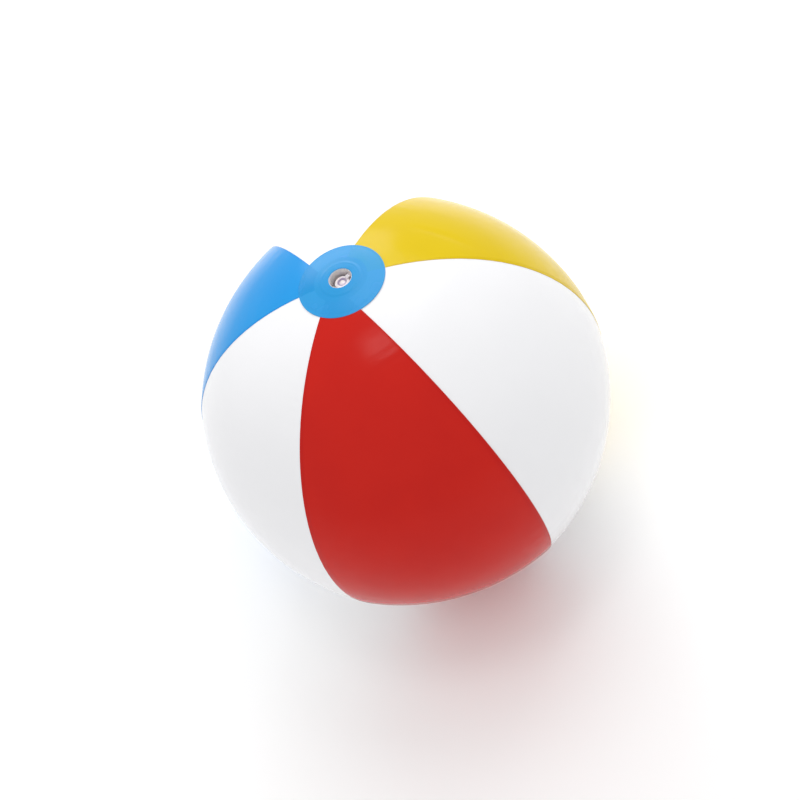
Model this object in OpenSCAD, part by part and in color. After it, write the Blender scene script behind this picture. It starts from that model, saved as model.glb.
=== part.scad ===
// Inflatable beach ball: six welded film gores, two pole caps and a push-in valve.
// The origin is the middle of the ball and +Z runs along the valve's axis, out of the ball.

/* [Skin] */
// Radius of the inflated ball at the middle of a gore
gore_r = 161; // [120:1:200]
// How far a seam stands out past the middle of a gore
ridge = 1.7; // [0.5:0.1:3]
// Height of each pole above the middle of the ball, a little less than the radius
pole_h = 159.2; // [118:0.1:199]
// Thickness of the PVC film
film = 0.2; // [0.15:0.05:0.3]
// Angle by which a coloured gore laps over its white neighbours, 4 mm at the middle of a weld
lap_angle = 1.4; // [0.7:0.1:2.1]
// Angle by which the seams' meeting point sits away from the valve
lean = 2.5; // [0:0.1:5]
// Direction of that lean, counter-clockwise from +X
lean_azimuth = 205; // [0:1:359]

/* [Gores] */
// Azimuth of the first seam, where the red gore's curve starts
first_seam = -118.6; // [-180:0.1:180]
// Angles from seam to seam of red, white, yellow, white, blue and white, which add up to 360
gore_spans = [57.2, 65.8, 52.2, 63.8, 56.2, 64.8]; // [50:0.1:70]

/* [Caps] */
// Radius of the round cap over the gore tips
cap_r = 32.8; // [26:0.1:40]
// Thickness of a cap
cap_t = 0.3; // [0.2:0.05:0.5]
// Radius at which the gore tips are trimmed under the cap
tip_r = 20; // [16:0.5:24]

/* [Valve] */
// Radius of the hole in the cap that the valve sinks into
hole_r = 8.8; // [8.6:0.1:10]
// Outer radius of the valve's welded flange
flange_r = 14.5; // [12:0.5:18]
// Thickness of the flange
flange_t = 0.8; // [0.5:0.1:1.2]
// Outer radius of the stem's tube
stem_r = 5.2; // [4.8:0.1:5.6]
// Length of the stem
stem_l = 16; // [13:0.5:20]
// Outer radius of the collar round the stem's mouth
collar_r = 5.8; // [5.6:0.1:6.2]
// Thickness of that collar
collar_t = 1.2; // [0.8:0.1:2]
// Radius of the seat that the plug is pushed into
seat_r = 3.8; // [3.6:0.1:4]
// Depth of that seat
seat_l = 5.5; // [5:0.5:7]
// Radius of the air bore below the seat
bore_r = 3; // [2.5:0.1:3.3]
// Depth of the plug's face below the cap when the valve is pushed in
sink = 4.5; // [4:0.5:6]

/* [Plug] */
// Radius of the plug's head
plug_r = 5.6; // [5:0.1:6]
// Thickness of the head
plug_t = 1.6; // [1.2:0.1:2]
// Radius of the dimple in the head
dimple_r = 3.3; // [2.5:0.1:3.6]
// Depth of that dimple
dimple_l = 0.8; // [0.4:0.1:1]
// Radius of the spigot just under the head
spigot_r = 3.6; // [3.4:0.05:3.7]
// Radius of the spigot at its tip
spigot_tip_r = 2.4; // [2:0.1:2.6]
// Length of the spigot
spigot_l = 4; // [3:0.5:4.5]
// Direction of the strap from the valve's axis, counter-clockwise from +X
strap_azimuth = 30; // [0:1:359]
// Width of the strap
strap_w = 3.2; // [2:0.1:4]
// Thickness of the strap
strap_t = 0.7; // [0.5:0.1:0.8]
// Distance of the middle of the strap's loop from the valve's axis
loop_x = 6.2; // [6:0.1:6.2]
// Radius of that loop
loop_r = 1.6; // [1.4:0.1:1.6]

/* [Check flap] */
// Radius of the flap that closes the inner end of the stem
flap_r = 4.4; // [4:0.1:4.8]
// Thickness of the flap
flap_t = 0.5; // [0.3:0.1:0.8]

/* [Hidden] */
$fn = 96;

// Clearance left between two welded films, so that their faces don't cross
weld_gap = 0.02;
// Clearance where a moving piece rests against its neighbour
rest_gap = 0.05;
// Larger than the whole ball, for cutting shapes
far = 2 * gore_r;

// The skin's outline has two arcs: a flatter crown round each pole and a rounder side.
// Angle from the pole at which the crown's arc meets the side's
crown_angle = 30;
side_c = (gore_r - pole_h) / (1 - tan(crown_angle / 2));
side_r = gore_r - side_c;
crown_c = side_c / tan(crown_angle);
crown_r = pole_h + crown_c;

// How far the axis of a gore's crosswise curve lies behind the ball's, for half its span
function curve_shift(half) =
    ridge / (1 - cos(half) - ridge / gore_r * cos(half));
// Azimuth of the seam before gore i
function seam_at(i) = i == 0 ? first_seam : seam_at(i - 1) + gore_spans[i - 1];
// The red, yellow and blue gores are even, and the white ones are odd
function coloured(i) = i % 2 == 0;
// Height of the crown's surface at a distance from the axis, set out by some thickness
function crown_z(r, out) = sqrt(pow(crown_r + out, 2) - r * r) - crown_c;

// The ridges near the pole lift the cap this far off the crown
cap_lift = 2 * film + 2 * weld_gap + 0.3;
cap_top = crown_z(hole_r, cap_lift + cap_t);
flange_top = crown_z(hole_r, cap_lift - weld_gap);

// The plug's face lies below the cap, and the stem hangs from there into the ball
mouth_z = cap_top - sink - plug_t;
stem_end = mouth_z - stem_l;

// The strap's loop starts in the middle of the collar, this far above the mouth at its own middle
loop_z = loop_r - collar_t / 2;

// The skirt is a thin cup: a wall below the flange, and a floor that joins the stem
skirt_t = 0.4;
skirt_r = hole_r - rest_gap;
skirt_turn = mouth_z - 2.5;
skirt_foot = mouth_z - 6;

// Half of the skin's outline, set in by t and moved out by shift
module skin_outline(t, shift) {
    joint_x = side_c + (side_r - t) * sin(crown_angle);
    translate([shift, 0]) {
        translate([side_c, 0]) circle(r = side_r - t);
        intersection() {
            translate([0, -crown_c]) circle(r = crown_r - t);
            translate([0, crown_c]) circle(r = crown_r - t);
            square([2 * joint_x, far], center = true);
        }
    }
}

// A shell of film round an axis, from t_out in to t_in
module skin(t_out, t_in, shift) {
    rotate_extrude($fn = 180)
        intersection() {
            difference() {
                skin_outline(t_out, shift);
                skin_outline(t_in, shift);
            }
            translate([0, -far]) square([far, 2 * far]);
        }
}

// The space round +X within half an angle to each side
module gore_space(half) {
    reach = 1.5 * far;
    linear_extrude(height = far * 1.2, center = true)
        polygon([
            [0, 0],
            [reach * cos(half), -reach * sin(half)],
            [reach * cos(half), reach * sin(half)]
        ]);
}

// One gore of film, from pole to pole, with its tips trimmed
module gore(i) {
    half = gore_spans[i] / 2;
    shift = curve_shift(half);
    out = coloured(i) ? film + weld_gap : 0;
    difference() {
        rotate(a = lean, v = [-sin(lean_azimuth), cos(lean_azimuth), 0])
            rotate([0, 0, seam_at(i) + half])
                intersection() {
                    translate([-shift, 0, 0]) skin(-out, film - out, shift);
                    gore_space(half + (coloured(i) ? lap_angle : 0));
                }
        cylinder(r = tip_r, h = far * 1.2, center = true);
    }
}

// A shell that follows the crown, between two radii from the axis
module crown_ring(r_in, r_out, out, t) {
    rotate_extrude()
        intersection() {
            translate([0, -crown_c])
                difference() {
                    circle(r = crown_r + out + t);
                    circle(r = crown_r + out);
                }
            translate([r_in, 0]) square([r_out - r_in, far]);
        }
}

module gore_red() { color("#bf2b27") gore(0); }
module gore_white_right() { color("#f4f5f7") gore(1); }
module gore_yellow() { color("#e8cc2c") gore(2); }
module gore_white_top() { color("#f4f5f7") gore(3); }
module gore_blue() { color("#3e9cdc") gore(4); }
module gore_white_left() { color("#f4f5f7") gore(5); }

module pole_cap_valve_end() {
    color("#45a3e0") crown_ring(hole_r, cap_r, cap_lift, cap_t);
}

module pole_cap_base() {
    color("#45a3e0") mirror([0, 0, 1]) crown_ring(0, cap_r, cap_lift, cap_t);
}

module valve_flange() {
    color("gainsboro") crown_ring(hole_r, flange_r, cap_lift - weld_gap - flange_t, flange_t);
}

// Thin cup that rolls over when the stem is pulled out
module valve_skirt() {
    inner_r = stem_r + rest_gap;
    color("gainsboro")
        rotate_extrude()
            polygon([
                [skirt_r, flange_top],
                [skirt_r, skirt_turn],
                [inner_r, skirt_foot - skirt_t],
                [inner_r, skirt_foot],
                [skirt_r - skirt_t, skirt_turn + skirt_t],
                [skirt_r - skirt_t, flange_top]
            ]);
}

module valve_stem() {
    color("gainsboro")
        difference() {
            union() {
                translate([0, 0, stem_end]) cylinder(r = stem_r, h = stem_l);
                translate([0, 0, mouth_z - collar_t]) cylinder(r = collar_r, h = collar_t);
            }
            translate([0, 0, mouth_z - seat_l]) cylinder(r = seat_r, h = seat_l + 1);
            translate([0, 0, stem_end - 1]) cylinder(r = bore_r, h = stem_l);
        }
}

// The outline of the strap from the side: out of the collar, round a loop and back onto the head
module strap_outline() {
    landing_x = dimple_r + 1.1;
    landing_z = plug_t + 2 * rest_gap;
    top_z = loop_z + loop_r;
    translate([loop_x, loop_z])
        intersection() {
            difference() {
                circle(r = loop_r + strap_t / 2);
                circle(r = loop_r - strap_t / 2);
            }
            translate([0, -far]) square([far, 2 * far]);
        }
    translate([0, loop_z - loop_r - strap_t / 2]) square([loop_x, strap_t]);
    polygon([
        [landing_x, landing_z + strap_t],
        [landing_x, landing_z],
        [loop_x, top_z - strap_t / 2],
        [loop_x + strap_t / 3, top_z],
        [loop_x, top_z + strap_t / 2]
    ]);
}

module plug_strap() {
    color("gainsboro")
        difference() {
            rotate([0, 0, strap_azimuth])
                translate([0, 0, mouth_z])
                    rotate([90, 0, 0])
                        linear_extrude(height = strap_w, center = true) strap_outline();
            translate([0, 0, mouth_z - collar_t - 1]) cylinder(r = collar_r, h = collar_t + 1);
            translate([0, 0, mouth_z]) cylinder(r = plug_r + rest_gap, h = plug_t + 1.5 * rest_gap);
        }
}

module valve_plug() {
    color("gainsboro")
        difference() {
            union() {
                translate([0, 0, mouth_z + rest_gap]) cylinder(r = plug_r, h = plug_t);
                translate([0, 0, mouth_z + rest_gap - spigot_l])
                    cylinder(r1 = spigot_tip_r, r2 = spigot_r, h = spigot_l);
            }
            translate([0, 0, mouth_z + plug_t - dimple_l]) cylinder(r = dimple_r, h = 2 * dimple_l);
        }
}

module check_flap() {
    color("gainsboro")
        translate([0, 0, stem_end - flap_t - rest_gap]) cylinder(r = flap_r, h = flap_t);
}

gore_red();
gore_white_right();
gore_yellow();
gore_white_top();
gore_blue();
gore_white_left();
pole_cap_valve_end();
pole_cap_base();
valve_flange();
valve_skirt();
valve_stem();
plug_strap();
valve_plug();
check_flap();
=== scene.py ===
# An inflatable beach ball: six welded film gores, a cap over each pole and a push-in valve.
# It is put together here in the order in which the real one is made. The origin is the middle
# of the ball, and +Z runs along the valve's axis, out of the ball.
import math

import bmesh
import bpy
from mathutils import Matrix, Vector


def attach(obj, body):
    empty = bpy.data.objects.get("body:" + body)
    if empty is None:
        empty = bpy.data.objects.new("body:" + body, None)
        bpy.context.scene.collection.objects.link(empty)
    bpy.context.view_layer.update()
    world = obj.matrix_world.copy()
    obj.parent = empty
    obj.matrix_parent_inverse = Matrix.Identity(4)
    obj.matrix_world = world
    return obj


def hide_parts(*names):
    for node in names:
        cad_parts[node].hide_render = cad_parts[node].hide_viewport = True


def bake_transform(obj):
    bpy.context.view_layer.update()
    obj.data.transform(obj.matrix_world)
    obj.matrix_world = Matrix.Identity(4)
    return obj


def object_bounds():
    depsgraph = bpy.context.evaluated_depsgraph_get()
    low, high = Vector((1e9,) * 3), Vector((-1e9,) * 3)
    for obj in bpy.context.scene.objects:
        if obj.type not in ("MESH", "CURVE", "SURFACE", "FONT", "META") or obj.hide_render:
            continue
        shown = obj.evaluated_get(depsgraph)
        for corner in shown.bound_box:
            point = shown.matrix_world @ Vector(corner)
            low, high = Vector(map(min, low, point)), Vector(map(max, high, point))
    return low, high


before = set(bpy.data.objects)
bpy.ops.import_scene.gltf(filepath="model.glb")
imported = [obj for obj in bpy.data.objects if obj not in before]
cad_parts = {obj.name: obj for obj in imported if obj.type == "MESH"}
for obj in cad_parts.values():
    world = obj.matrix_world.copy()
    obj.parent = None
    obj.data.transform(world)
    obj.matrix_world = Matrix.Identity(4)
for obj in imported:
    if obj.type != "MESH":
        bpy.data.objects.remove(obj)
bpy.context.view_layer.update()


# --- Film gores -----------------------------------------------------------------------------
# Six pointed gores of 0.2 mm soft PVC film, printed in one colour each, cut flat and welded
# edge over edge on a hot bar. Air pulls them round, a little flatter across than the ball, so
# that each weld stands out as a low ridge. The coloured gores lap over the white ones.
mm = 0.001
ball_radius = 161 * mm
pole_height = 159.2 * mm
weld_ridge = 1.7 * mm
film_thickness = 0.2 * mm
film_gap = 0.02 * mm
lap_angle = math.radians(1.4)
tip_radius = 20 * mm
# the film's slow waves die out this near a weld, and all its relief this near the caps
weld_calm = 14 * mm
cap_calm = 45 * mm

# The outline has two arcs: a flatter crown round each pole, and a rounder side
crown_angle = math.radians(30)
side_shift = (ball_radius - pole_height) / (1 - math.tan(crown_angle / 2))
side_radius = ball_radius - side_shift
crown_shift = side_shift / math.tan(crown_angle)
crown_radius = pole_height + crown_shift

# The welds meet a few millimetres beside the valve
lean_angle = math.radians(2.5)
lean_azimuth = math.radians(205)
lean = Matrix.Rotation(lean_angle, 3, (-math.sin(lean_azimuth), math.cos(lean_azimuth), 0))
weld_offset = pole_height * math.sin(lean_angle)

first_weld = math.radians(-118.6)
gore_list = [
    ("red", 57.2),
    ("white_right", 65.8),
    ("yellow", 52.2),
    ("white_top", 63.8),
    ("blue", 56.2),
    ("white_left", 64.8),
]
gores = []
for colour_name, span in gore_list:
    start = gores[-1]["end"] if gores else first_weld
    half = math.radians(span) / 2
    gores.append({
        "name": colour_name,
        "half": half,
        "middle": start + half,
        "end": start + 2 * half,
        "shift": weld_ridge / (1 - math.cos(half) - weld_ridge / ball_radius * math.cos(half)),
        "coloured": not colour_name.startswith("white"),
    })


def outline(polar):
    """Distance from the axis, and height, of a gore's middle line at an angle from the pole."""
    up = min(polar, math.pi - polar)
    if up < crown_angle:
        reach = crown_radius * math.sin(up)
        height = crown_radius * math.cos(up) - crown_shift
    else:
        reach = side_shift + side_radius * math.sin(up)
        height = side_radius * math.cos(up)
    return reach, height if polar < math.pi / 2 else -height


def gore_reach(gore, polar, turn):
    """Distance of a gore's film from the axis, at an angle from its middle."""
    reach = outline(polar)[0]
    across = gore["shift"] * math.cos(turn)
    return math.sqrt(across * across + reach * reach + 2 * reach * gore["shift"]) - across


def trim_polar(azimuth, pole_azimuth):
    """Angle from the pole at which a tip is cut, so that the cut is round about the valve."""
    turn = azimuth - pole_azimuth
    side = weld_offset * math.sin(turn)
    cut = weld_offset * math.cos(turn) + math.sqrt(tip_radius * tip_radius - side * side)
    return math.asin(cut / crown_radius)


def weld_pucker(weld, along, away):
    """Small gathers in the film beside a weld, which shrinks as it cools."""
    envelope = math.exp(-away / (9 * mm)) * (1 - math.exp(-away / (2.5 * mm)))
    bunching = 0.55 + 0.45 * math.sin(along / (11 * mm) + 1.7 * weld)
    wave = math.sin(along / (1.6 * mm) + 2.2 * math.sin(along / (13 * mm) + weld))
    return 0.12 * mm * envelope * bunching * wave


def film_swell(index, along, across):
    """Slow waves where the film is stretched unevenly."""
    long_wave = math.sin(along / (31 * mm) + 1.3 * index) * math.cos(across / (24 * mm) + index)
    cross_wave = math.sin(along / (17 * mm) - across / (21 * mm) + 2.1 * index)
    return 0.10 * mm * long_wave + 0.05 * mm * cross_wave


def fold_mark(across, along):
    """The mark of a fold from the packing, which runs slantwise over the yellow film."""
    start = Vector((11 * mm, 72.5 * mm))
    run = Vector((-39 * mm, 109 * mm)) - start
    place = Vector((across, along)) - start
    share = place.dot(run) / run.length_squared
    if not 0 < share < 1:
        return 0
    beside = (place - run * share).length / (3.6 * mm)
    return 0.6 * mm * math.exp(-beside * beside) * math.sin(math.pi * share)


def build_gore(index, across_steps=72, along_steps=280):
    gore = gores[index]
    before, after = gores[index - 1], gores[(index + 1) % len(gores)]
    lap = lap_angle if gore["coloured"] else 0
    out = film_thickness + film_gap if gore["coloured"] else 0
    bm = bmesh.new()
    weld_layer = bm.verts.layers.float.new("weld")
    uv_layer = bm.loops.layers.uv.new("film")
    bmesh.ops.create_grid(bm, x_segments=across_steps, y_segments=along_steps, size=1)
    flat_place = {}
    crowding = 1.41
    for vert in bm.verts:
        # closer rows beside the welds, where the gathers are
        share = math.sin(vert.co.x * crowding) / math.sin(crowding)
        travel = (1 - vert.co.y) / 2
        guess = gore["middle"] + share * gore["half"]
        top = trim_polar(guess, lean_azimuth + math.pi)
        base = math.pi - trim_polar(guess, lean_azimuth)
        polar = top + travel * (base - top)
        edge_reach = gore_reach(gore, polar, gore["half"])
        turn = share * (gore["half"] + lap)
        past = (abs(turn) - gore["half"]) * edge_reach
        holder = gore
        if past > 0:
            holder = after if turn > 0 else before
        local = gore["middle"] + turn - holder["middle"]
        local = (local + math.pi) % (2 * math.pi) - math.pi
        reach = gore_reach(holder, polar, local)
        height = outline(polar)[1]
        azimuth = gore["middle"] + turn
        point = Vector((reach * math.cos(azimuth), reach * math.sin(azimuth), height))
        along = polar * ball_radius
        weld = index if turn < 0 else index + 1
        relief = weld_pucker(weld % len(gores), along, abs(past))
        calm = min(1, abs(past) / weld_calm)
        if gore["name"] == "yellow":
            relief -= fold_mark(turn * reach, along)
        clear_of_cap = min(1, max(0, reach / cap_calm - 0.6))
        relief += film_swell(index, along, turn * reach) * calm * calm * (3 - 2 * calm)
        point += point.normalized() * (out + relief * clear_of_cap)
        vert.co = lean @ point
        vert[weld_layer] = max(0, min(1, 1 + past / (0.4 * mm)))
        flat_place[vert] = (turn * reach, along)
    for face in bm.faces:
        for loop in face.loops:
            loop[uv_layer].uv = flat_place[loop.vert]
    bmesh.ops.recalc_face_normals(bm, faces=bm.faces[:])
    return bm


def as_piece(name, bm, material, slot, *nodes):
    """A finished mesh as an object of the model. It stands for CAD nodes; its slot is not used.
    """
    mesh = bpy.data.meshes.new(name)
    for face in bm.faces:
        face.smooth = True
    bm.to_mesh(mesh)
    bm.free()
    piece = bpy.data.objects.new(name, mesh)
    bpy.context.scene.collection.objects.link(piece)
    mesh.materials.append(material)
    if nodes:
        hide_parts(*nodes)
    return piece


def linear(code):
    """An sRGB hex colour as linear red, green, blue and alpha."""
    parts = [int(code[i:i + 2], 16) / 255 for i in (1, 3, 5)]
    return [c / 12.92 if c <= 0.04045 else ((c + 0.055) / 1.055) ** 2.4 for c in parts] + [1]


def add_node(tree, kind, inputs=None, **settings):
    """A shader node with its settings, its values and its links."""
    node = tree.nodes.new(kind)
    for key, value in settings.items():
        setattr(node, key, value)
    for key, value in (inputs or {}).items():
        if isinstance(value, bpy.types.NodeSocket):
            tree.links.new(value, node.inputs[key])
        else:
            node.inputs[key].default_value = value
    return node


def new_material(name):
    material = bpy.data.materials.new(name)
    material.use_nodes = True
    material.node_tree.nodes.clear()
    return material, material.node_tree


def printed_film(name, colour, dense, roughness=0.17):
    """Calendered soft PVC film. Rolling leaves a gloss with a slow ripple of about 10 mm and a
    skin like orange peel at about 1.5 mm, which break up reflections. The pigment is a little
    uneven, and the weld, two films thick, is denser and holds the fine ribs of the hot bar."""
    material, tree = new_material(name)
    place = add_node(tree, "ShaderNodeTexCoord").outputs["Object"]
    cloud = add_node(tree, "ShaderNodeTexNoise", {
        "Vector": place, "Scale": 1 / (45 * mm), "Detail": 3, "Roughness": 0.55,
    })
    cloud_share = add_node(tree, "ShaderNodeMapRange", {
        "Value": cloud.outputs["Fac"], "From Min": 0.35, "From Max": 0.7,
        "To Min": 0, "To Max": 0.3,
    })
    uneven = add_node(tree, "ShaderNodeMix", {
        "Factor": cloud_share.outputs["Result"], 6: linear(colour), 7: linear(dense),
    }, data_type="RGBA")
    weld = add_node(tree, "ShaderNodeAttribute", attribute_name="weld")
    weld_share = add_node(tree, "ShaderNodeMath", {0: weld.outputs["Fac"], 1: 0.5},
                          operation="MULTIPLY")
    pigment = add_node(tree, "ShaderNodeMix", {
        "Factor": weld_share.outputs[0], 6: uneven.outputs[2], 7: linear(dense),
    }, data_type="RGBA")

    ripple = add_node(tree, "ShaderNodeTexNoise", {
        "Vector": place, "Scale": 1 / (11 * mm), "Detail": 1, "Roughness": 0.4,
    })
    ripple_bump = add_node(tree, "ShaderNodeBump", {
        "Height": ripple.outputs["Fac"], "Strength": 0.5, "Distance": 0.08 * mm,
    })
    peel = add_node(tree, "ShaderNodeTexNoise", {
        "Vector": place, "Scale": 1 / (1.5 * mm), "Detail": 2, "Roughness": 0.5,
    })
    peel_bump = add_node(tree, "ShaderNodeBump", {
        "Height": peel.outputs["Fac"], "Strength": 0.5, "Distance": 0.012 * mm,
        "Normal": ripple_bump.outputs["Normal"],
    })
    # the hot bar's ribs, 1.2 mm apart, run across the weld
    flat = add_node(tree, "ShaderNodeSeparateXYZ", {
        0: add_node(tree, "ShaderNodeUVMap", uv_map="film").outputs["UV"],
    })
    rib_turn = add_node(tree, "ShaderNodeMath", {
        0: flat.outputs["Y"], 1: 2 * math.pi / (1.2 * mm),
    }, operation="MULTIPLY")
    rib = add_node(tree, "ShaderNodeMath", {0: rib_turn.outputs[0]}, operation="SINE")
    rib_height = add_node(tree, "ShaderNodeMath", {
        0: rib.outputs[0], 1: weld.outputs["Fac"],
    }, operation="MULTIPLY")
    rib_bump = add_node(tree, "ShaderNodeBump", {
        "Height": rib_height.outputs[0], "Strength": 0.4, "Distance": 0.02 * mm,
        "Normal": peel_bump.outputs["Normal"],
    })

    handled = add_node(tree, "ShaderNodeMapRange", {
        "Value": cloud.outputs["Fac"], "From Min": 0.3, "From Max": 0.75,
        "To Min": roughness - 0.03, "To Max": roughness + 0.06,
    })
    shader = add_node(tree, "ShaderNodeBsdfPrincipled", {
        "Base Color": pigment.outputs[2], "Roughness": handled.outputs["Result"],
        "Normal": rib_bump.outputs["Normal"], "IOR": 1.52, "Specular IOR Level": 0.13,
    })
    add_node(tree, "ShaderNodeOutputMaterial", {"Surface": shader.outputs["BSDF"]})
    return material


# The colours are those of pigmented vinyl film; the second of each pair is a double layer
film_colours = {
    "red": printed_film("red PVC film, calendered", "#c41e14", "#b61510"),
    "yellow": printed_film("yellow PVC film, calendered", "#d8bb10", "#d0b006"),
    "blue": printed_film("sky blue PVC film, calendered", "#1f93da", "#1288d4"),
    "white": printed_film("white PVC film, calendered", "#eeeef0", "#f1f1f3"),
}

for index, gore in enumerate(gores):
    colour_name = gore["name"].split("_")[0]
    piece = as_piece(gore["name"] + "_film_gore", build_gore(index), film_colours[colour_name],
                     colour_name + "_film", "gore_" + gore["name"])
    wall = piece.modifiers.new("film thickness", "SOLIDIFY")
    wall.thickness = film_thickness
    wall.offset = -1
    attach(piece, "skin")


# --- Pole caps ------------------------------------------------------------------------------
# Each pole is closed by a 66 mm disc of blue PVC sheet, welded over the gore tips with a
# double ring near its edge. The cap at the valve end has a hole, and the valve's flange is
# welded under it, where it shows as a low step. The sheet lets the colours below shine through.
cap_radius = 32.8 * mm
cap_thickness = 0.3 * mm
hole_radius = 8.8 * mm
flange_radius = 14.5 * mm
flange_thickness = 0.8 * mm
cap_weld_radii = (30.2 * mm, 31.1 * mm)
cap_weld_depth = 0.1 * mm
flange_weld_radius = 13.4 * mm
flange_weld_depth = 0.07 * mm
hole_edge_depth = 0.06 * mm
# the step over the flange, and where it runs out
flange_step = 0.28 * mm
flange_step_radii = (14.2 * mm, 16.5 * mm)
film_lift = 2 * film_thickness + 2 * film_gap
cap_lift = film_lift + 0.3 * mm


def crown_height(radius, out):
    """Height of the crown's surface at a distance from the axis, set out by a thickness."""
    return math.sqrt((crown_radius + out) ** 2 - radius * radius) - crown_shift


def smooth_step(value, low, high):
    share = min(1, max(0, (value - low) / (high - low)))
    return share * share * (3 - 2 * share)


def dent(radius, centre, width):
    return math.exp(-((radius - centre) / width) ** 2)


def turned(profile, steps, corner=0.0):
    """A closed outline of radius and height, turned once round the valve's axis."""
    bm = bmesh.new()
    verts = [bm.verts.new((radius, 0, height)) for radius, height in profile]
    edges = []
    for first, second in zip(verts, verts[1:] + verts[:1]):
        if first.co.x > 0 or second.co.x > 0:
            edges.append(bm.edges.new((first, second)))
    bmesh.ops.spin(bm, geom=verts + edges, cent=(0, 0, 0), axis=(0, 0, 1),
                   angle=2 * math.pi, steps=steps, use_merge=True, use_duplicate=False)
    bmesh.ops.remove_doubles(bm, verts=bm.verts[:], dist=0.0005 * mm)
    bmesh.ops.recalc_face_normals(bm, faces=bm.faces[:])
    if corner:
        sharp = [edge for edge in bm.edges
                 if edge.is_manifold and edge.calc_face_angle() > math.radians(30)]
        bmesh.ops.bevel(bm, geom=sharp, offset=corner, offset_type="OFFSET", segments=2,
                        profile=0.5, affect="EDGES", material=-1, clamp_overlap=True)
    return bm


def under_cap(x, y, top):
    """What shines through a cap at a point: blue film, white film, yellow or red."""
    point = lean.inverted() @ Vector((x, y, pole_height if top else -pole_height))
    azimuth = math.atan2(point.y, point.x)
    for gore in gores:
        turn = (azimuth - gore["middle"] + math.pi) % (2 * math.pi) - math.pi
        if gore["coloured"] and abs(turn) <= gore["half"] + lap_angle:
            return gore["name"]
    return "white"


# The cap's blue over each film below it, and over the hollow of the ball near the valve,
# where the darker blue is painted shade for the dark inside of the ball
shine_through = {
    "white": linear("#2b95d2"),
    "yellow": linear("#2a95ca"),
    "blue": linear("#138bcb"),
    "red": linear("#2490ce"),
    # painted shade: the cap over the ball's dark inside, near the valve
    "hollow": linear("#2391ce"),
}


def build_cap(top):
    hole = hole_radius if top else 0
    rows = 54

    def lift(radius):
        step = flange_step * (1 - smooth_step(radius, *flange_step_radii)) if top else 0
        return film_lift + film_gap + step

    outer, inner = [], []
    for row in range(rows + 1):
        radius = hole + (cap_radius - hole) * row / rows
        relief = -cap_weld_depth * sum(dent(radius, r, 0.28 * mm) for r in cap_weld_radii)
        if top:
            relief -= flange_weld_depth * dent(radius, flange_weld_radius, 0.35 * mm)
            relief -= hole_edge_depth * dent(radius, hole, 0.4 * mm)
        out = lift(radius) + cap_thickness + relief
        outer.append((radius, crown_height(radius, out)))
        if row % 2 == 0:
            inner.append((radius, crown_height(radius, lift(radius))))
    bm = turned(outer + inner[::-1], 192, corner=0.08 * mm)
    under = bm.verts.layers.float_color.new("under")
    for vert in bm.verts:
        radius = math.hypot(vert.co.x, vert.co.y)
        colour = shine_through[under_cap(vert.co.x, vert.co.y, top)]
        # inside the tips' cut, the cap is painted with the shade of the ball's dark hollow
        share = smooth_step(radius, tip_radius - 0.6 * mm, tip_radius + 0.6 * mm)
        vert[under] = [a + (b - a) * share
                       for a, b in zip(shine_through["hollow"], colour)]
    if not top:
        bmesh.ops.scale(bm, vec=(1, 1, -1), verts=bm.verts[:])
        bmesh.ops.recalc_face_normals(bm, faces=bm.faces[:])
    return bm


def cap_sheet():
    """Soft PVC sheet, 0.3 mm, gloss calendered. It is thick enough to lie smooth, with a slow
    ripple, and thin enough that the films below it change its blue."""
    material, tree = new_material("blue PVC sheet, welded cap")
    place = add_node(tree, "ShaderNodeTexCoord").outputs["Object"]
    under = add_node(tree, "ShaderNodeAttribute", attribute_name="under")
    cloud = add_node(tree, "ShaderNodeTexNoise", {
        "Vector": place, "Scale": 1 / (16 * mm), "Detail": 2,
    })
    cloud_share = add_node(tree, "ShaderNodeMapRange", {
        "Value": cloud.outputs["Fac"], "From Min": 0.35, "From Max": 0.7,
        "To Min": 0, "To Max": 0.25,
    })
    tint = add_node(tree, "ShaderNodeMix", {
        "Factor": cloud_share.outputs["Result"], 6: under.outputs["Color"],
        7: linear("#3393dc"),
    }, data_type="RGBA")
    peel = add_node(tree, "ShaderNodeTexNoise", {
        "Vector": place, "Scale": 1 / (5 * mm), "Detail": 2,
    })
    peel_bump = add_node(tree, "ShaderNodeBump", {
        "Height": peel.outputs["Fac"], "Strength": 0.5, "Distance": 0.03 * mm,
    })
    gloss = add_node(tree, "ShaderNodeMapRange", {
        "Value": cloud.outputs["Fac"], "From Min": 0.3, "From Max": 0.75,
        "To Min": 0.2, "To Max": 0.3,
    })
    shader = add_node(tree, "ShaderNodeBsdfPrincipled", {
        "Base Color": tint.outputs[2], "Roughness": gloss.outputs["Result"],
        "Normal": peel_bump.outputs["Normal"], "IOR": 1.52, "Specular IOR Level": 0.22,
    })
    add_node(tree, "ShaderNodeOutputMaterial", {"Surface": shader.outputs["BSDF"]})
    return material


cap_material = cap_sheet()
for name, node_name, top in [("valve_end_cap", "pole_cap_valve_end", True),
                             ("base_cap", "pole_cap_base", False)]:
    piece = as_piece(name, build_cap(top), cap_material, "cap_film", node_name)
    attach(piece, "skin")


# --- Valve: flange and skirt ----------------------------------------------------------------
# The valve is moulded in clear soft PVC, milky where it is thick. Its flange is welded under
# the cap, and its skirt, a thin cup, carries the stem and rolls over when the stem is pulled.
rest_gap = 0.05 * mm
stem_radius = 5.2 * mm
skirt_wall = 0.4 * mm
plug_sink = 4.5 * mm
plug_thickness = 1.6 * mm
cap_top = crown_height(hole_radius, cap_lift + cap_thickness)
flange_top = crown_height(hole_radius, cap_lift - film_gap)
mouth = cap_top - plug_sink - plug_thickness


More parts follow.
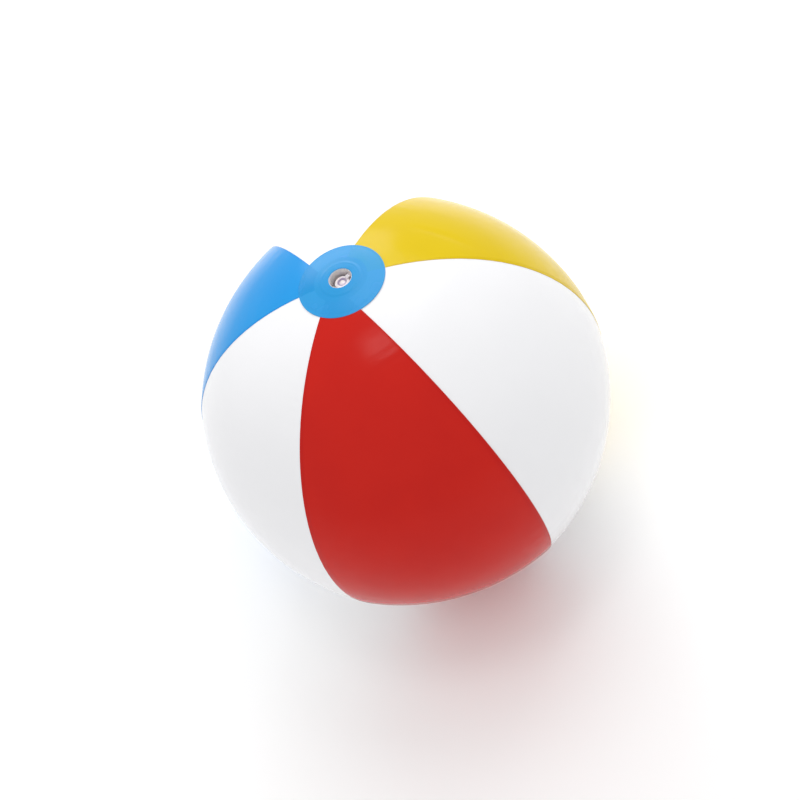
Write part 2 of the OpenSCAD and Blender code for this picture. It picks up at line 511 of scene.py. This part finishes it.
def clear_vinyl(name, colour, clearness, ring=0.0):
    """Injection moulded clear soft PVC. It is milky and faintly violet, with a satin skin from
    the mould and soft flow marks about 2 mm apart. Light spreads in it, and where a wall turns
    down, at the radius of the ring, less of it comes back, so a darker violet is painted there:
    painted shade in the colour."""
    material, tree = new_material(name)
    place = add_node(tree, "ShaderNodeTexCoord").outputs["Object"]
    milk = add_node(tree, "ShaderNodeTexNoise", {
        "Vector": place, "Scale": 1 / (5 * mm), "Detail": 2,
    })
    milk_share = add_node(tree, "ShaderNodeMapRange", {
        "Value": milk.outputs["Fac"], "From Min": 0.3, "From Max": 0.7,
        "To Min": 0, "To Max": 1,
    })
    body = add_node(tree, "ShaderNodeMix", {
        "Factor": milk_share.outputs["Result"], 6: linear(colour), 7: linear("#f6e9e2"),
    }, data_type="RGBA")
    level = add_node(tree, "ShaderNodeVectorMath", {0: place, 1: (1, 1, 0)},
                     operation="MULTIPLY")
    radius = add_node(tree, "ShaderNodeVectorMath", {0: level.outputs[0]}, operation="LENGTH")
    off_ring = add_node(tree, "ShaderNodeMath", {0: radius.outputs["Value"], 1: ring},
                        operation="SUBTRACT")
    from_ring = add_node(tree, "ShaderNodeMath", {0: off_ring.outputs[0]}, operation="ABSOLUTE")
    # painted shade: a darker violet painted round the ring's radius, where the wall turns down
    painted_ring_shade = add_node(tree, "ShaderNodeMapRange", {
        "Value": from_ring.outputs[0], "From Min": 0.3 * mm, "From Max": 1.1 * mm,
        "To Min": 0.8 if ring else 0, "To Max": 0,
    }, interpolation_type="SMOOTHSTEP")
    shade = add_node(tree, "ShaderNodeMix", {
        "Factor": painted_ring_shade.outputs["Result"], 6: body.outputs[2], 7: linear("#8a7ba6"),
    }, data_type="RGBA")
    flow = add_node(tree, "ShaderNodeTexNoise", {
        "Vector": place, "Scale": 1 / (2 * mm), "Detail": 2,
    })
    flow_bump = add_node(tree, "ShaderNodeBump", {
        "Height": flow.outputs["Fac"], "Strength": 0.5, "Distance": 0.04 * mm,
    })
    satin = add_node(tree, "ShaderNodeMapRange", {
        "Value": milk.outputs["Fac"], "From Min": 0.3, "From Max": 0.7,
        "To Min": 0.16, "To Max": 0.3,
    })
    shader = add_node(tree, "ShaderNodeBsdfPrincipled", {
        "Base Color": shade.outputs[2], "Roughness": satin.outputs["Result"],
        "Normal": flow_bump.outputs["Normal"], "IOR": 1.53, "Transmission Weight": clearness,
        "Subsurface Weight": 0.6, "Subsurface Radius": (1, 0.9, 1),
        "Subsurface Scale": 3 * mm,
    })
    add_node(tree, "ShaderNodeOutputMaterial", {"Surface": shader.outputs["BSDF"]})
    return material


valve_vinyl = clear_vinyl("clear soft PVC, moulded valve", "#f5eff9", 0.08)

flange_profile = [
    (hole_radius + 0.02 * mm, crown_height(hole_radius, cap_lift - film_gap - flange_thickness)),
    (flange_radius - 0.6 * mm, crown_height(flange_radius, cap_lift - film_gap - 0.8 * mm)),
    (flange_radius, crown_height(flange_radius, cap_lift - 0.6 * mm)),
    (flange_radius - 0.4 * mm, crown_height(flange_radius, cap_lift - 0.05 * mm)),
    (11.5 * mm, crown_height(11.5 * mm, cap_lift - film_gap)),
    (hole_radius + 0.02 * mm, flange_top),
]
flange = as_piece("valve_flange_ring", turned(flange_profile, 128, corner=0.12 * mm),
                  valve_vinyl, "clear_vinyl", "valve_flange")
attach(flange, "skin")

skirt_radius = hole_radius - rest_gap
skirt_turn = mouth - 2.5 * mm
skirt_foot = mouth - 6 * mm
skirt_inner = stem_radius + rest_gap
skirt_outline = []
for step in range(13):
    # the wall, a little hollowed, from the flange down to the turn
    share = step / 12
    hollow = 0.35 * mm * math.sin(math.pi * share)
    height = flange_top + (skirt_turn - flange_top) * share
    skirt_outline.append((skirt_radius - hollow, height))
for step in range(1, 9):
    # the floor, which rounds in to the stem
    share = step / 8
    sag = 0.25 * mm * math.sin(math.pi * share)
    skirt_outline.append((skirt_radius + (skirt_inner - skirt_radius) * share,
                          skirt_turn + (skirt_foot - skirt_wall - skirt_turn) * share - sag))
skirt_lining = []
for radius, height in skirt_outline[:13]:
    skirt_lining.append((radius - skirt_wall, max(height, skirt_turn + skirt_wall)))
for radius, height in skirt_outline[13:]:
    skirt_lining.append((max(skirt_inner, radius - 0.1 * mm), height + skirt_wall))
skirt = as_piece("valve_skirt_cup", turned(skirt_outline + skirt_lining[::-1], 128),
                 valve_vinyl, "clear_vinyl", "valve_skirt")
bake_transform(skirt)


# --- Valve: stem ----------------------------------------------------------------------------
# A short thick-walled tube of the same clear PVC. The collar round its mouth carries the
# strap, the wide bore at the top is the plug's seat, and the pump's nozzle goes in below.
stem_length = 16 * mm
collar_radius = 5.8 * mm
collar_thickness = 1.2 * mm
seat_radius = 3.8 * mm
seat_depth = 5.5 * mm
bore_radius = 3 * mm
stem_end = mouth - stem_length
seat_bead = 0.12 * mm

stem_profile = [
    (bore_radius, stem_end),
    (stem_radius, stem_end),
    (stem_radius, mouth - collar_thickness - 0.5 * mm),
    (stem_radius + 0.15 * mm, mouth - collar_thickness - 0.1 * mm),
    (collar_radius, mouth - collar_thickness),
    (collar_radius, mouth - 0.1 * mm),
    (collar_radius - 0.3 * mm, mouth),
    (seat_radius + 0.35 * mm, mouth),
    (seat_radius, mouth - 0.4 * mm),
    (seat_radius, mouth - 1.6 * mm),
    (seat_radius + seat_bead, mouth - 1.9 * mm),
    (seat_radius, mouth - 2.2 * mm),
    (seat_radius, mouth - seat_depth),
    (bore_radius, mouth - seat_depth - 0.3 * mm),
]
stem = as_piece("valve_stem_tube", turned(stem_profile, 96, corner=0.1 * mm), valve_vinyl,
                "clear_vinyl", "valve_stem")
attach(stem, "stem")


# --- Valve: plug ----------------------------------------------------------------------------
# A push-in stopper. Its head has a round dimple with a small dome in it for the fingertip,
# and its tapered spigot has two fine beads that seal in the seat.
plug_radius = 5.6 * mm
dimple_radius = 3.3 * mm
dimple_depth = 0.8 * mm
spigot_radius = 3.6 * mm
spigot_tip_radius = 2.4 * mm
spigot_length = 4 * mm
head_foot = mouth + rest_gap
head_top = head_foot + plug_thickness


def spigot_at(depth):
    return spigot_radius + (spigot_tip_radius - spigot_radius) * depth / spigot_length


plug_profile = [(0, head_top - 0.2 * mm)]
for step in range(1, 9):
    # the dome in the dimple
    share = step / 8
    plug_profile.append((2.2 * mm * share,
                         head_top - 0.2 * mm - (dimple_depth - 0.2 * mm) * share ** 2))
plug_profile += [
    (2.7 * mm, head_top - dimple_depth),
    (dimple_radius - 0.15 * mm, head_top - 0.25 * mm),
    (dimple_radius + 0.1 * mm, head_top),
    (plug_radius - 0.35 * mm, head_top),
    (plug_radius, head_top - 0.35 * mm),
    (plug_radius, head_foot + 0.25 * mm),
    (plug_radius - 0.25 * mm, head_foot),
    (spigot_radius, head_foot),
]
for depth in (1.2 * mm, 2.5 * mm):
    plug_profile += [
        (spigot_at(depth - 0.25 * mm), head_foot - depth + 0.25 * mm),
        (spigot_at(depth) + 0.1 * mm, head_foot - depth),
        (spigot_at(depth + 0.25 * mm), head_foot - depth - 0.25 * mm),
    ]
plug_profile += [
    (spigot_tip_radius + 0.1 * mm, head_foot - spigot_length + 0.4 * mm),
    (spigot_tip_radius - 0.3 * mm, head_foot - spigot_length),
    (0, head_foot - spigot_length),
]
# the plug's vinyl has a ring of painted shade at 2.9 mm, over the spigot's wall
plug_vinyl = clear_vinyl("clear soft PVC, moulded plug", "#ece5f3", 0.08, ring=2.9 * mm)
plug = as_piece("valve_plug_stopper", turned(plug_profile, 96, corner=0.08 * mm), plug_vinyl,
                "clear_vinyl", "valve_plug")
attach(plug, "plug")


# --- Valve: strap ---------------------------------------------------------------------------
# The strap that keeps the plug on the valve is one moulding with both. It leaves the collar,
# makes a loop and lands on the head. The loop straightens as the plug is opened, so its two
# halves are two pieces that meet at the loop's outermost point.
strap_azimuth = math.radians(30)
strap_width = 3.2 * mm
strap_thickness = 0.7 * mm
loop_place = 6.2 * mm
loop_radius = 1.6 * mm
loop_height = mouth + loop_radius - collar_thickness / 2
landing_place = dimple_radius + 1.1 * mm
landing_height = head_top + 0.05 * mm + strap_thickness / 2
collar_root = collar_radius - 0.4 * mm
half_loop_steps = 12


def strap_section(around):
    """The strap's rounded cross-section as a ring of edges, that far round its loop."""
    bm = bmesh.new()
    bmesh.ops.create_grid(bm, x_segments=1, y_segments=1, size=0.5)
    bmesh.ops.scale(bm, vec=(strap_width, strap_thickness, 1), verts=bm.verts[:])
    bmesh.ops.bevel(bm, geom=bm.verts[:], offset=0.24 * mm, offset_type="OFFSET", segments=3,
                    profile=0.5, affect="VERTICES", material=-1)
    bmesh.ops.delete(bm, geom=bm.faces[:], context="FACES_ONLY")
    upright = Matrix.Rotation(math.pi / 2, 3, "Z") @ Matrix.Rotation(math.pi / 2, 3, "X")
    bmesh.ops.rotate(bm, cent=(0, 0, 0), matrix=upright, verts=bm.verts[:])
    bmesh.ops.translate(bm, vec=(loop_place, 0, loop_height - loop_radius), verts=bm.verts[:])
    bmesh.ops.rotate(bm, cent=(loop_place, 0, loop_height), verts=bm.verts[:],
                     matrix=Matrix.Rotation(-around, 3, "Y"))
    return bm, bm.edges[:]


def draw_out(bm, ring, vec, steps):
    """Extrudes a ring of edges along a line and returns the last ring."""
    for _ in range(steps):
        made = bmesh.ops.extrude_edge_only(bm, edges=ring)["geom"]
        new = {item for item in made if isinstance(item, bmesh.types.BMVert)}
        bmesh.ops.translate(bm, vec=Vector(vec) / steps, verts=list(new))
        ring = [item for item in made
                if isinstance(item, bmesh.types.BMEdge) and set(item.verts) <= new]
    return ring


def curl(bm, ring, angle):
    """Spins a ring of edges round the loop and returns the last ring."""
    made = bmesh.ops.spin(bm, geom=list({v for edge in ring for v in edge.verts}) + ring,
                          cent=(loop_place, 0, loop_height), axis=(0, -1, 0), angle=angle,
                          steps=half_loop_steps, use_merge=False, use_duplicate=False)
    return [item for item in made["geom_last"] if isinstance(item, bmesh.types.BMEdge)]


def close_strap(bm):
    """Fills the strap's ends and turns it to its place round the valve."""
    bmesh.ops.holes_fill(bm, edges=[edge for edge in bm.edges if edge.is_boundary], sides=0)
    bmesh.ops.recalc_face_normals(bm, faces=bm.faces[:])
    bmesh.ops.rotate(bm, cent=(0, 0, 0), matrix=Matrix.Rotation(strap_azimuth, 3, "Z"),
                     verts=bm.verts[:])
    return bm


lower_mesh, root_ring = strap_section(0)
draw_out(lower_mesh, root_ring, (collar_root - loop_place, 0, 0), 3)
curl(lower_mesh, root_ring, math.pi / 2)
lower_half = as_piece("plug_strap_lower_half", close_strap(lower_mesh), plug_vinyl,
                      "clear_vinyl", "plug_strap")
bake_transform(lower_half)

upper_mesh, outer_ring = strap_section(math.pi / 2)
top_ring = curl(upper_mesh, outer_ring, math.pi / 2)
draw_out(upper_mesh, top_ring, (landing_place - 0.5 * mm - loop_place, 0,
                                landing_height - loop_height - loop_radius), 6)
upper_half = as_piece("plug_strap_upper_half", close_strap(upper_mesh), plug_vinyl,
                      "clear_vinyl")
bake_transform(upper_half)


# --- Valve: check flap ----------------------------------------------------------------------
# A thin disc across the inner end of the stem, which air pressure holds shut and the pump's
# air pushes open. It hangs by a thin web on one side, moulded in one with it.
flap_radius = 4.4 * mm
flap_thickness = 0.5 * mm
flap_top = stem_end - rest_gap
flap_hinge = -(flap_radius + 0.2 * mm)

flap_profile = [
    (0, flap_top),
    (bore_radius + 0.3 * mm, flap_top),
    (bore_radius + 0.5 * mm, flap_top - 0.08 * mm),
    (flap_radius - 0.15 * mm, flap_top - 0.08 * mm),
    (flap_radius, flap_top - 0.2 * mm),
    (flap_radius - 0.1 * mm, flap_top - flap_thickness + 0.05 * mm),
    (bore_radius, flap_top - flap_thickness + 0.1 * mm),
    (bore_radius - 0.4 * mm, flap_top - flap_thickness),
    (0, flap_top - flap_thickness),
]
flap = as_piece("check_flap_disc", turned(flap_profile, 96, corner=0.05 * mm), valve_vinyl,
                "clear_vinyl", "check_flap")
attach(flap, "flap")

web_mesh = bmesh.new()
bmesh.ops.create_grid(web_mesh, x_segments=10, y_segments=4, size=0.5)
bmesh.ops.scale(web_mesh, vec=(1.1 * mm, 2.6 * mm, 1), verts=web_mesh.verts[:])
bmesh.ops.solidify(web_mesh, geom=web_mesh.faces[:], thickness=0.2 * mm)
bmesh.ops.recalc_face_normals(web_mesh, faces=web_mesh.faces[:])
for vert in web_mesh.verts:
    # it dips between the stem's end and the disc
    vert.co.z -= 0.18 * mm * smooth_step(vert.co.x, -0.5 * mm, 0.4 * mm)
bmesh.ops.translate(web_mesh, vec=(flap_hinge - 0.05 * mm, 0, stem_end - 0.02 * mm),
                    verts=web_mesh.verts[:])
web = as_piece("check_flap_web", web_mesh, valve_vinyl, "clear_vinyl")
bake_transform(web)


# --- Studio ---------------------------------------------------------------------------------
# A plain white floor under the ball, a big soft light high up and behind, a low one behind, a
# small one overhead and to the right, and light from all round, more from the front left.
floor_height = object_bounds()[0][2]
camera_right = Vector((0.94228, -0.15502, -0.29678))
camera_up = Vector((0.30048, 0.78255, 0.54528))
camera_back = Vector((0.14772, -0.60298, 0.78396))
camera_distance = 1.127

# Matt white paint on a smooth floor, with no gloss, so that shadows fall on it softly
floor_material, tree = new_material("matt white painted floor")
shader = add_node(tree, "ShaderNodeBsdfPrincipled", {
    "Base Color": linear("#fdfdfd"), "Roughness": 0.9, "Specular IOR Level": 0.1,
})
add_node(tree, "ShaderNodeOutputMaterial", {"Surface": shader.outputs["BSDF"]})
floor_mesh = bmesh.new()
bmesh.ops.create_grid(floor_mesh, x_segments=1, y_segments=1, size=40)
bmesh.ops.translate(floor_mesh, vec=(0, 0, floor_height), verts=floor_mesh.verts[:])
floor_data = bpy.data.meshes.new("floor")
floor_mesh.to_mesh(floor_data)
floor_mesh.free()
floor_data.materials.append(floor_material)
floor = bpy.data.objects.new("floor", floor_data)
bpy.context.scene.collection.objects.link(floor)


def soft_light(name, direction, distance, size, power, colour):
    direction = Vector(direction).normalized()
    data = bpy.data.lights.new(name, "AREA")
    data.shape = "RECTANGLE"
    data.size, data.size_y = size
    data.energy = power
    data.color = linear(colour)[:3]
    light = bpy.data.objects.new(name, data)
    light.location = direction * distance
    light.rotation_mode = "QUATERNION"
    light.rotation_quaternion = direction.to_track_quat("Z", "Y")
    bpy.context.scene.collection.objects.link(light)
    return light


soft_light("key softbox", (0.242, 0.487, 0.839), 1.9, (1.3, 1.3), 10.5, "#ffffff")
soft_light("back softbox", (-0.1, 0.85, 0.52), 2.0, (1.2, 0.6), 6.5, "#ffffff")
soft_light("overhead softbox", (0.01, -0.07, 1), 1.9, (0.45, 0.4), 2.4, "#ffffff")
soft_light("side softbox", (0.72, 0.19, 0.665), 1.6, (0.4, 0.45), 0.3, "#ffffff")

world = bpy.data.worlds.new("studio")
bpy.context.scene.world = world
world.use_nodes = True
tree = world.node_tree
tree.nodes.clear()
direction = add_node(tree, "ShaderNodeTexCoord").outputs["Generated"]
facing = add_node(tree, "ShaderNodeVectorMath", {0: direction, 1: (-0.8, -0.45, 0.4)},
                  operation="DOT_PRODUCT")
brightness = add_node(tree, "ShaderNodeMapRange", {
    "Value": facing.outputs["Value"], "From Min": -1, "From Max": 1,
    "To Min": 0.75, "To Max": 0.87,
}, interpolation_type="SMOOTHSTEP")
background = add_node(tree, "ShaderNodeBackground", {
    "Color": linear("#ffffff"), "Strength": brightness.outputs["Result"],
})
add_node(tree, "ShaderNodeOutputWorld", {"Surface": background.outputs["Background"]})
bpy.context.scene.view_settings.view_transform = "Standard"

camera_data = bpy.data.cameras.new("camera")
camera_data.lens = 63.42
camera_data.sensor_width = 36
camera_data.shift_x = -0.00843
camera_data.shift_y = 0.00095
camera_data.clip_start = 0.05
camera = bpy.data.objects.new("camera", camera_data)
camera.matrix_world = Matrix.Translation(camera_back * camera_distance) @ Matrix(
    (camera_right, camera_up, camera_back)).transposed().to_4x4()
bpy.context.scene.collection.objects.link(camera)
bpy.context.scene.camera = camera
